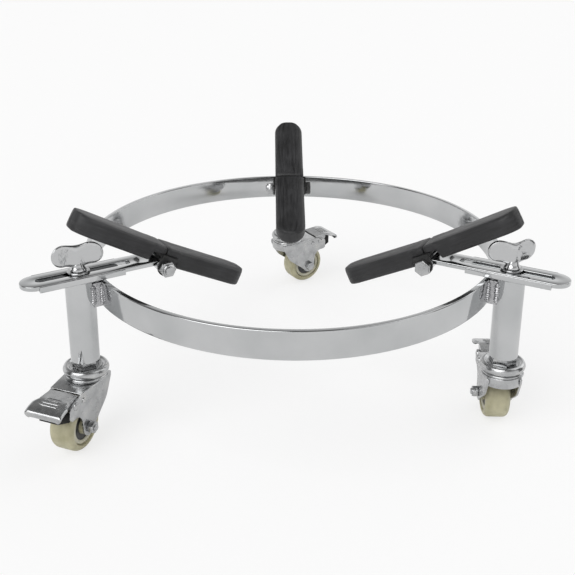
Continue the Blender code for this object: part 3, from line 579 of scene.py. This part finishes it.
def slide_arm(s):
    """Arm: a stadium band round its slot, and the cross tube at its inner end."""
    matrix = station_frame(s)
    pivot = local(matrix, JOINTS[f"pad_tilt_{s}"]["pos_m"])
    half, side = ARM_WIDTH / 2, SLOT_WIDTH / 2
    low = GUIDE_RISE + GUIDE_WALL + GAP
    tail = pivot[0] + KNUCKLE_RADIUS * 0.3
    tip, far, near = (ARM_TIP - half, 0), (SLOT_END - side, 0), (SLOT_START + side, 0)
    outer = np.vstack([arc(tip, half, 0, 90, 24), [(tail, half), (tail, -half)], arc(tip, half, -90, -3, 24)])
    inner = [arc(far, side, 0, 90, 12), arc(near, side, 90, 270, 24), arc(far, side, -90, -6, 12)]
    inner = np.vstack(inner)
    arm = band(f"arm_{s}", matrix, even(outer, 240), even(inner, 240), low, low + ARM_THICKNESS, 0.0006)
    dress(arm, f"arm_{s}", CHROME, "chrome", f"slide_arm_{s}")
    long = PAD_WIDTH / 2 - GAP
    bore = 0.0043
    rows = [(bore, -long), (KNUCKLE_RADIUS - 0.0005, -long), (KNUCKLE_RADIUS, 0.0005 - long)]
    rows += [(r, -h) for r, h in reversed(rows)]
    knuckle = turned(f"knuckle_{s}", moved(matrix, JOINTS[f"pad_tilt_{s}"]["pos_m"]), rows, 64, axis=1)
    dress(knuckle, f"arm_{s}", CHROME, "chrome")


def local(matrix, point):
    """A world point in a frame's own coordinates."""
    return (np.array(point) - matrix[:3, 3]) @ matrix[:3, :3]


def paddles(base):
    """Both wings of the cast bolt as one lofted body, by span x and round the section.

    The silhouette ends in a circle of radius WING_ROUND at WING_REACH on each side, dips
    between them at the top and runs down to the neck below. The half thickness is that of
    the wing plus a bell curve at the neck, which fades with height, and the middle line
    folds towards +Y as a hyperbola.
    """
    low = base + NECK_HEIGHT
    x = (WING_REACH + WING_ROUND) * np.sin(np.linspace(-pi / 2, pi / 2, 97))
    away = np.abs(x)
    past = np.clip(away - WING_REACH, 0, WING_ROUND)
    cap = np.sqrt(np.clip(WING_ROUND**2 - past**2, 0, None))
    near = 1 - np.clip(away / WING_REACH, 0, 1)
    near = near**2 * (3 - 2 * near)
    top = low + WING_ROUND + cap - WING_DIP * near
    bottom = low + WING_ROUND - cap - NECK_HEIGHT / 2 * near
    v = np.linspace(0, 2 * pi, 48, endpoint=False)
    power = 0.55
    across = np.sign(np.cos(v)) * np.abs(np.cos(v)) ** power
    upward = np.sign(np.sin(v)) * np.abs(np.sin(v)) ** power
    z = (top + bottom)[:, None] / 2 + (top - bottom)[:, None] / 2 * upward[None]
    rise = np.clip((z - low) / (2 * WING_ROUND), 0, 1)
    swell = 0.0026 * np.exp(-((away / 0.0048) ** 2))[:, None] * (1 - 0.75 * rise)
    thick = (WING_THICKNESS / 2) * np.sqrt(np.clip(1 - (past / WING_ROUND) ** 4, 0, None))[:, None] + swell
    thick *= (past < WING_ROUND * 0.99999)[:, None]
    bend = 0.0025
    middle = tan(WING_FOLD) * (np.sqrt(away**2 + bend**2) - bend)
    span = np.broadcast_to(x[:, None], z.shape)
    return np.stack([span, middle[:, None] + thick * across[None], z], axis=-1)


def wing_bolt(s):
    """Cast wing bolt: stud, flared neck and two thick rounded wings folded apart."""
    matrix = spun(moved(station_frame(s), JOINTS[f"wing_turn_{s}"]["pos_m"]), WING_TURNS[s - 1])
    seat = GUIDE_RISE + GUIDE_WALL + ARM_THICKNESS + 2 * GAP
    base = seat + WASHER_THICKNESS + GAP
    low, n, foot = base + NECK_HEIGHT, NECK_RADIUS, base - STUD_LENGTH
    neck = [(0, foot), (STUD_RADIUS - 0.0006, foot), (STUD_RADIUS, foot + 0.0006), (STUD_RADIUS, base)]
    neck += [(n * 1.10, base), (n * 1.15, base + 0.0005), (n * 1.13, base + 0.0014), (n * 0.98, base + 0.0028)]
    neck += [(n * 0.86, base + 0.0042), (n * 0.80, low), (n * 0.60, low + 0.0020), (0, low + 0.0028)]
    neck = turned(f"wing_neck_{s}", matrix, neck, 64, closed=False)
    dress(neck, f"wing_{s}", CAST, "cast_chrome", f"wing_bolt_{s}")
    wings = surface(f"wing_paddles_{s}", matrix, paddles(base), wrap_v=True, sharp=70)
    dress(wings, f"wing_{s}", CAST, "cast_chrome")
    high = seat + WASHER_THICKNESS
    washer = [(STUD_RADIUS + GAP, seat), (WASHER_RADIUS - 0.0004, seat), (WASHER_RADIUS, seat + 0.0004)]
    washer += [(WASHER_RADIUS, high - 0.0004), (WASHER_RADIUS - 0.0004, high), (STUD_RADIUS + GAP, high)]
    dress(turned(f"washer_{s}", matrix, washer, 64), f"wing_{s}", ZINC, "zinc", f"clamp_washer_{s}")


def pad_frame(s, outer):
    """At the seam on the pad's top face: X along one half, Z square out of its top."""
    station = station_frame(s)
    mid = (PAD_OUTER_ANGLE + PAD_INNER_ANGLE) / 2
    x = SEAM_OFFSET * cos(mid) - PIVOT_DEPTH * sin(mid)
    z = SEAM_OFFSET * sin(mid) + PIVOT_DEPTH * cos(mid)
    pivot = np.array(JOINTS[f"pad_tilt_{s}"]["pos_m"])
    origin = pivot + station[:3, 0] * x + station[:3, 2] * z
    angle = PAD_OUTER_ANGLE if outer else PAD_INNER_ANGLE
    out = 1 if outer else -1
    along = (station[:3, 0] * cos(angle) + station[:3, 2] * sin(angle)) * out
    normal = station[:3, 2] * cos(angle) - station[:3, 0] * sin(angle)
    return frame_at(origin, along, np.cross(normal, along), normal)


def sleeve(s, outer, length):
    """Rubber sleeve: a rounded section carried along the half, narrowing round its end.

    The half width is PAD_WIDTH / 2 less the end circle's sagitta, and near the end the
    section shrinks by a quarter circle as deep as the edge's rounding.
    """
    u = np.concatenate([np.linspace(0, 0.86, 40), 1 - 0.14 * (1 - np.linspace(0, 1, 40)[1:]) ** 2.2])
    start = SEAM_GAP / 2
    x = start + (length - start) * u
    past = np.clip(x - (length - PAD_END_ROUND), 0, PAD_END_ROUND)
    flat = PAD_WIDTH / 2 - PAD_END_ROUND
    width = flat + np.sqrt(np.clip(PAD_END_ROUND**2 - past**2, 0, None))
    near_end = np.clip((x - (length - PAD_EDGE)) / PAD_EDGE, 0, 1)
    near_seam = np.clip(1 - (x - start) / 0.0010, 0, 1)
    shrink = PAD_EDGE * (1 - np.sqrt(1 - near_end**2)) + 0.0010 * (1 - np.sqrt(1 - near_seam**2))
    v = np.linspace(0, 2 * pi, 96, endpoint=False)
    half = PAD_THICKNESS / 2
    relieved = np.clip((RELIEF_LENGTH - x) / 0.0012, 0, 1)
    depth = PAD_THICKNESS - relieved * (PAD_THICKNESS - CORE_BOTTOM - 0.0002)
    power = 0.36
    cy = np.sign(np.cos(v)) * np.abs(np.cos(v)) ** power
    sz = np.sign(np.sin(v)) * np.abs(np.sin(v)) ** power
    y = np.maximum(width - shrink, 0.0004)[:, None] * cy[None]
    tall = np.maximum(depth / 2 - shrink, 0.0004)[:, None]
    z = -depth[:, None] / 2 + tall * sz[None]
    crown = 0.0005 * (1 - (y / half) ** 2 * 0.2) * (sz[None] > 0.9)
    points = np.stack([np.broadcast_to(x[:, None], y.shape), y, z - 0.0005 + crown], axis=-1)
    around = np.broadcast_to(v[None] * 0.016, y.shape)
    uv = np.stack([points[..., 0], around], axis=-1)
    name, node = ("outer_sleeve", "outer_pad") if outer else ("inner_sleeve", "inner_pad")
    pad = surface(f"{name}_{s}", pad_frame(s, outer), points, wrap_v=True, caps=True, uv=uv, sharp=60)
    dress(pad, f"pad_{s}", RUBBER, "pad_rubber", f"{node}_{s}")


def pivot_hardware(s):
    """Domed hex head and washer face on one side, lock nut with its collar on the other."""
    matrix = moved(station_frame(s), JOINTS[f"pad_tilt_{s}"]["pos_m"])
    face = PAD_WIDTH / 2 + GAP + STRAP_THICKNESS + GAP
    flats = 0.0130
    head = plate(f"pivot_head_{s}", matrix, hexagon(flats, pi / 6), -face - 0.0053, -face, 0.0007, "y")
    # Painted shade: the first station's head is given the dark zinc because it lies in shadow, while the other
    # stations' heads stay plain zinc
    dress(head, f"pad_{s}", BLACK_ZINC_AND_SHADE if s == 1 else ZINC, "zinc")
    end = face + 0.0084
    shank = [(0, -face), (0.0039, -face), (0.0039, end - 0.0004), (0.0034, end), (0, end)]
    shank = turned(f"pivot_shank_{s}", matrix, shank, 48, axis=1, closed=False)
    dress(shank, f"pad_{s}", ZINC, "zinc", f"pivot_bolt_{s}")
    nut = plate(f"pivot_hex_{s}", matrix, hexagon(flats), face, face + 0.0052, 0.0006, "y")
    dress(nut, f"pad_{s}", ZINC, "zinc", f"pivot_nut_{s}")
    foot, lip = face + 0.0050, face + 0.0072
    collar = [(0.0041, foot), (0.0058, foot), (0.0056, lip - 0.0006), (0.0050, lip), (0.0041, lip)]
    dress(turned(f"pivot_collar_{s}", matrix, collar, 48, axis=1), f"pad_{s}", ZINC, "zinc")


def races(s):
    """Dished upper race, hex flange over it, and the fork's own lower race."""
    matrix = leg_frame(s)
    z, r, h = -RACE_DROP, RACE_RADIUS, RACE_HEIGHT / 2
    dish = [(0.0073, z - 0.1 * h), (0.0073, z + 0.42 * h), (0.68 * r, z + 0.42 * h)]
    dish += [(0.75 * r, z + 0.85 * h), (0.83 * r, z + h), (0.93 * r, z + 0.75 * h), (r, z)]
    dish += [(0.97 * r, z - 0.65 * h), (0.90 * r, z - h)]
    dish += [(0.82 * r, z - h), (0.74 * r, z - 0.1 * h)]
    upper = turned(f"race_{s}", matrix, rounded(dish, 0.0012, 4), 128)
    dress(upper, "base", ZINC, "zinc", f"upper_race_{s}")
    rim = r * 0.9
    top = -PLATE_DROP
    lip = z - h - 2 * GAP
    lower = [(rim * 0.6, top - GAP), (rim, top - GAP), (rim * 1.01, (top + lip) / 2)]
    lower += [(rim * 0.95, lip), (rim * 0.65, lip)]
    dress(turned(f"lower_race_{s}", matrix, rounded(lower, 0.0006, 3), 128), f"swivel_{s}", ZINC, "zinc")


def fork(s):
    """Pressed fork: top plate, two cheeks with rounded feet and the brake pin's heads."""
    matrix = caster_frame(s)
    half, top = FORK_WIDTH / 2, -PLATE_DROP
    lead = np.degrees(np.arcsin(half / PLATE_RADIUS))
    nose = arc((0, 0), PLATE_RADIUS, lead + 52, 308 - lead, 40)
    outline = rounded(np.vstack([[(PLATE_REACH, -half), (PLATE_REACH, half)], nose]), 0.0008, 2)
    cover = plate(f"fork_plate_{s}", matrix, outline, top - PLATE_THICKNESS, top, 0.0006)
    dress(cover, f"swivel_{s}", ZINC, "zinc", f"fork_{s}")
    under = top - EAR_DROP
    foot = (AXLE_OFFSET, -AXLE_DROP)
    side = [(-PLATE_RADIUS * 0.8, top - 0.0012), (-PLATE_RADIUS * 0.8, top - 0.006), (-0.006, top - 0.024)]
    tail = [(AXLE_OFFSET + 0.0095, under - 0.006), (AXLE_OFFSET + 0.0150, under), (EAR_REACH, under)]
    tail += [(EAR_REACH, top - 0.006), (EAR_REACH - 0.006, top - 0.0035), (PLATE_REACH, top - 0.0012)]
    outline = np.vstack([side, arc(foot, 0.0085, 205, 340, 24), tail])
    outline = even(rounded(outline, 0.0040, 6), 260)
    lead = 180 - np.degrees(np.arcsin(half / PLATE_RADIUS))
    inside = arc((0, 0), PLATE_RADIUS - FORK_WALL, 360 - lead, lead, 40)
    skirt = np.vstack([arc((0, 0), PLATE_RADIUS, lead, 360 - lead, 40), inside])
    high = top - PLATE_THICKNESS / 2
    apron = plate(f"fork_apron_{s}", matrix, skirt, top - APRON_DROP, high, 0.0005, steps=2)
    dress(apron, f"swivel_{s}", ZINC, "zinc")
    for k, sign in enumerate((-1, 1)):
        low, high = sorted((sign * (half - FORK_WALL), sign * half))
        cheek = plate(f"fork_cheek_{s}_{k}", matrix, outline, low, high, 0.0005, "y")
        dress(cheek, f"swivel_{s}", ZINC, "zinc")
        out = sign * half
        for j, (x, z, r) in enumerate(RIVETS):
            dome = [(0, out + sign * 0.0017), (r * 0.6, out + sign * 0.0014), (r * 0.95, out + sign * 0.0007)]
            dome += [(r, out), (0, out - sign * 0.0010)]
            head = turned(f"rivet_{s}_{k}{j}", matrix @ shift(x, 0, z), dome, 32, axis=1, closed=False)
            dress(head, f"swivel_{s}", ZINC, "zinc")


def shift(x, y, z):
    """A plain move as a matrix."""
    matrix = np.eye(4)
    matrix[:3, 3] = x, y, z
    return matrix


def axle(s):
    """Axle bolt with a domed hex head, and its nut."""
    matrix = moved(caster_frame(s), JOINTS[f"wheel_roll_{s}"]["pos_m"])
    face = FORK_WIDTH / 2 + GAP
    flats = 0.0100
    head = plate(f"axle_head_{s}", matrix, hexagon(flats), -face - 0.0042, -face, 0.0006, "y")
    dress(head, f"swivel_{s}", ZINC, "zinc")
    end = face + 0.0067
    shank = [(0, -face), (0.003, -face), (0.003, end - 0.0004), (0.0026, end), (0, end)]
    shank = turned(f"axle_shank_{s}", matrix, shank, 40, axis=1, closed=False)
    dress(shank, f"swivel_{s}", ZINC, "zinc", f"axle_bolt_{s}")
    nut = plate(f"axle_hex_{s}", matrix, hexagon(flats, pi / 6), face, face + 0.0052, 0.0006, "y")
    dress(nut, f"swivel_{s}", ZINC, "zinc", f"axle_nut_{s}")


def wheel(s):
    """Wheel: rounded tread, recessed web and hub, with a paler ring set in each side."""
    matrix = moved(caster_frame(s), JOINTS[f"wheel_roll_{s}"]["pos_m"])
    half, web, hub = WHEEL_WIDTH / 2, WHEEL_WIDTH / 2 - 0.0030, 0.0127
    tread = arc((WHEEL_RADIUS - WHEEL_ROUND, half - WHEEL_ROUND), WHEEL_ROUND, 90, 0, 12)
    side = [(0.0034, hub), (0.0072, hub), (0.0078, hub - 0.0008), (0.0080, web)]
    side += [(0.0176, web), (0.0184, half)]
    profile = np.vstack([side, tread])
    mirrored = profile[::-1] * (1, -1)
    body = turned(f"tread_{s}", matrix, np.vstack([profile, mirrored]), 128, axis=1)
    dress(body, f"roller_{s}", NYLON, "nylon", f"wheel_{s}")
    for k, sign in enumerate((-1, 1)):
        foot = web - 0.0002
        pale = [(0.0135, foot), (0.0175, foot), (0.0173, web + 0.0016), (0.0150, web + 0.0020)]
        pale = rounded(pale + [(0.0137, web + 0.0014)], 0.0006, 3) * (1, sign)
        dress(turned(f"side_ring_{s}_{k}", matrix, pale, 96, axis=1), f"roller_{s}", NYLON_PALE, "nylon")
        shield = [(0.0082, foot), (0.0136, foot), (0.0136, web + 0.0004), (0.0082, web + 0.0007)]
        shield = np.array(shield) * (1, sign)
        dress(turned(f"hub_shield_{s}_{k}", matrix, shield, 96, axis=1), f"roller_{s}", BLACK_ZINC_AND_SHADE, "nylon")


def pedal(s):
    """Brake pedal: a plate that widens past the ears, rolls down at its tip and has low cross ribs.

    The half width grows by a smooth step along the plate and is rounded off at the tip by a
    quarter circle. Each rib is the positive part of a cosine along the plate.
    """
    matrix = moved(caster_frame(s), JOINTS[f"brake_tilt_{s}"]["pos_m"])
    top = BRAKE_PIN_DROP - PLATE_DROP
    tip = PEDAL_TIP - BRAKE_PIN_OFFSET
    bend = [(PEDAL_START - BRAKE_PIN_OFFSET, top), (tip * 0.38, top + 0.0008), (tip * 0.77, top - 0.0012),
            (tip, top - 0.0036), (tip - 0.0008, top - 0.0036 - PEDAL_LIP)]
    knots = rounded(bend, 0.0026, 6, closed=False)
    length = np.concatenate([[0], np.cumsum(np.linalg.norm(np.diff(knots, axis=0), axis=1))])
    t = np.linspace(0, length[-1], 120)
    x, z = np.interp(t, length, knots[:, 0]), np.interp(t, length, knots[:, 1])
    rib = 0.0005 * np.clip(np.cos((t - 0.0130) / 0.0032 * 2 * pi), 0, 1) * (np.abs(t - 0.0178) < 0.0056)
    narrow, wide = FORK_WIDTH / 2 - FORK_WALL - GAP, PEDAL_WIDTH / 2
    step = np.clip((x - 0.0084) / 0.0070, 0, 1)
    corner = 0.0038
    past = np.clip(t - (length[-1] - corner), 0, corner)
    half = narrow + (wide - narrow) * step**2 * (3 - 2 * step)
    half += np.sqrt(corner**2 - past**2 + 1e-12) - corner
    v = np.linspace(-1, 1, 49)
    middle = np.clip((0.55 - np.abs(v)) / 0.12, 0, 1)
    rolled = 0.0009 * np.clip((np.abs(v) - 0.86) / 0.14, 0, 1) ** 2
    height = z[:, None] + rib[:, None] * middle[None] - rolled[None] * step[:, None]
    points = np.stack([np.broadcast_to(x[:, None], height.shape), half[:, None] * v[None], height], axis=-1)
    normal = np.stack([np.gradient(z, t), 0 * t, -np.gradient(x, t)], axis=-1)
    normal /= np.linalg.norm(normal, axis=1, keepdims=True)
    under = points + normal[:, None] * PEDAL_THICKNESS
    loop = np.concatenate([points, under[:, ::-1]], axis=1)
    skin = surface(f"pedal_{s}", matrix, loop, wrap_v=True, caps=True)
    dress(skin, f"brake_{s}", ZINC, "zinc", f"brake_pedal_{s}")
    high, low = top - 0.0009, -0.0046
    cheek = [(-0.0058, high), (0.0095, high), (0.0095, top - 0.0046), (0.0042, low), (-0.0042, low)]
    cheek = even(rounded(cheek, 0.0030, 5), 80)
    for k, sign in enumerate((-1, 1)):
        low, high = sorted((sign * (narrow - PEDAL_THICKNESS), sign * narrow))
        side = plate(f"pedal_cheek_{s}_{k}", matrix, cheek, low, high, 0.0004, "y", 2)
        dress(side, f"brake_{s}", ZINC, "zinc")


def camera():
    """Camera at the photograph's place, from yaw, pitch and roll."""
    cy, sy = cos(CAMERA_YAW), sin(CAMERA_YAW)
    cp, sp = cos(CAMERA_PITCH), sin(CAMERA_PITCH)
    forward = np.array([sy * cp, cy * cp, sp])
    right = np.array([cy, -sy, 0.0])
    up = np.cross(right, forward)
    cr, sr = cos(CAMERA_ROLL), sin(CAMERA_ROLL)
    right, up = right * cr + up * sr, up * cr - right * sr
    lens = bpy.data.cameras.new("camera")
    lens.lens = CAMERA_LENS
    lens.sensor_width = 36.0
    lens.clip_start = 0.01
    lens.clip_end = 50
    thing = bpy.data.objects.new("camera", lens)
    bpy.context.scene.collection.objects.link(thing)
    thing.matrix_world = Matrix(frame_at(RING_CENTRE + np.array(CAMERA_PLACE), right, up, -forward))
    bpy.context.scene.camera = thing


def sun(name, towards, power, width):
    """Very wide soft sun, which lights the whole floor evenly."""
    data = bpy.data.lights.new(name, "SUN")
    data.angle = radians(width)
    data.energy = power
    thing = bpy.data.objects.new(name, data)
    bpy.context.scene.collection.objects.link(thing)
    z = unit(towards)
    x = unit(np.cross((0, 0.001, 1), z))
    thing.matrix_world = Matrix(frame_at(np.array(towards), x, np.cross(z, x), z))


def card(name, middle, width, height, tone):
    """Upright grey card beside the stand, which only reflections see."""
    middle = np.array(middle)
    side = unit(np.cross((0, 0, 1), middle)) * width / 2
    up = np.array((0, 0, height))
    mesh = bpy.data.meshes.new(name)
    corners = [middle - side, middle + side, middle + side + up, middle - side + up]
    mesh.from_pydata(corners, [], [(0, 1, 2, 3)])
    thing = bpy.data.objects.new(name, mesh)
    bpy.context.scene.collection.objects.link(thing)
    mesh.materials.append(Finish(name, (tone, tone, tone), 0.9).material)
    thing.visible_camera = False
    thing.visible_diffuse = False
    thing.visible_shadow = False


def studio():
    """White sweep under a greyer ceiling, two wide suns and two grey cards."""
    world = bpy.data.worlds.new("studio")
    bpy.context.scene.world = world
    world.use_nodes = True
    nodes, links = world.node_tree.nodes, world.node_tree.links
    ground = nodes["Background"]
    ground.inputs["Color"].default_value = (1, 1, 1, 1)
    ground.inputs["Strength"].default_value = WORLD_LEVEL
    coords = nodes.new("ShaderNodeTexCoord")
    split = nodes.new("ShaderNodeSeparateXYZ")
    links.new(coords.outputs["Generated"], split.inputs[0])
    ceiling = nodes.new("ShaderNodeValToRGB")
    while len(ceiling.color_ramp.elements) < len(CEILING):
        ceiling.color_ramp.elements.new(0.5)
    for element, (at, grey) in zip(ceiling.color_ramp.elements, CEILING):
        element.position = at
        element.color = (grey, grey, grey, 1)
    links.new(split.outputs["Z"], ceiling.inputs["Fac"])
    mirrored = nodes.new("ShaderNodeBackground")
    links.new(ceiling.outputs["Color"], mirrored.inputs["Color"])
    seen = nodes.new("ShaderNodeBackground")
    seen.inputs["Color"].default_value = (1, 1, 1, 1)
    path = nodes.new("ShaderNodeLightPath")
    reflected = nodes.new("ShaderNodeMixShader")
    links.new(path.outputs["Is Glossy Ray"], reflected.inputs[0])
    links.new(ground.outputs[0], reflected.inputs[1])
    links.new(mirrored.outputs[0], reflected.inputs[2])
    either = nodes.new("ShaderNodeMath")
    either.operation = "MAXIMUM"
    links.new(path.outputs["Is Camera Ray"], either.inputs[0])
    links.new(path.outputs["Is Transmission Ray"], either.inputs[1])
    mix = nodes.new("ShaderNodeMixShader")
    links.new(either.outputs[0], mix.inputs[0])
    links.new(reflected.outputs[0], mix.inputs[1])
    links.new(seen.outputs[0], mix.inputs[2])
    links.new(mix.outputs[0], nodes["World Output"].inputs["Surface"])
    mesh = bpy.data.meshes.new("floor")
    size = FLOOR_SIZE
    corners = [(-size, -size, 0), (size, -size, 0), (size, size, 0), (-size, size, 0)]
    mesh.from_pydata(corners, [], [(0, 1, 2, 3)])
    floor = bpy.data.objects.new("floor", mesh)
    bpy.context.scene.collection.objects.link(floor)
    paper = Finish("white_paper", (0.93, 0.93, 0.93), 0.9)
    nodes, links = paper.nodes, paper.links
    glow = nodes.new("ShaderNodeEmission")
    path = nodes.new("ShaderNodeLightPath")
    share = nodes.new("ShaderNodeMath")
    share.operation = "MULTIPLY"
    share.inputs[1].default_value = FLOOR_GLOW
    mix = nodes.new("ShaderNodeMixShader")
    links.new(path.outputs["Is Camera Ray"], share.inputs[0])
    links.new(share.outputs[0], mix.inputs[0])
    links.new(paper.shader.outputs[0], mix.inputs[1])
    links.new(glow.outputs[0], mix.inputs[2])
    links.new(mix.outputs[0], nodes["Material Output"].inputs["Surface"])
    mesh.materials.append(paper.material)
    sun("key", (-0.9, -1.0, 1.5), 1.5, 50)
    sun("fill", (1.3, 0.5, 1.4), 0.7, 60)
    card("left_card", (-1.25, -0.35, 0.0), 0.55, 1.1, 0.10)
    card("right_card", (1.25, -0.25, 0.0), 0.55, 1.1, 0.10)


def keep_cad_nodes():
    """Better finishes for the nodes whose own shape is right."""
    finishes = {"ring_spacer": WELD, "pad_core": BLACK_STEEL, "caster_stem": ZINC, "brake_shoe": SHOE}
    for node, thing in frame["nodes"].items():
        finish = finishes.get(node.rsplit("_", 1)[0])
        if finish:
            thing.data.materials.clear()
            thing.data.materials.append(finish)


camera()
studio()
ring()
for station in STATIONS:
    leg_tube(station)
    spacer(station)
    arm_guide(station)
    slide_arm(station)
    wing_bolt(station)
    sleeve(station, True, PAD_OUTER_LENGTH)
    sleeve(station, False, PAD_INNER_LENGTH)
    pivot_hardware(station)
    races(station)
    fork(station)
    axle(station)
    wheel(station)
    pedal(station)
keep_cad_nodes()

bpy.context.scene.view_settings.view_transform = "Standard"
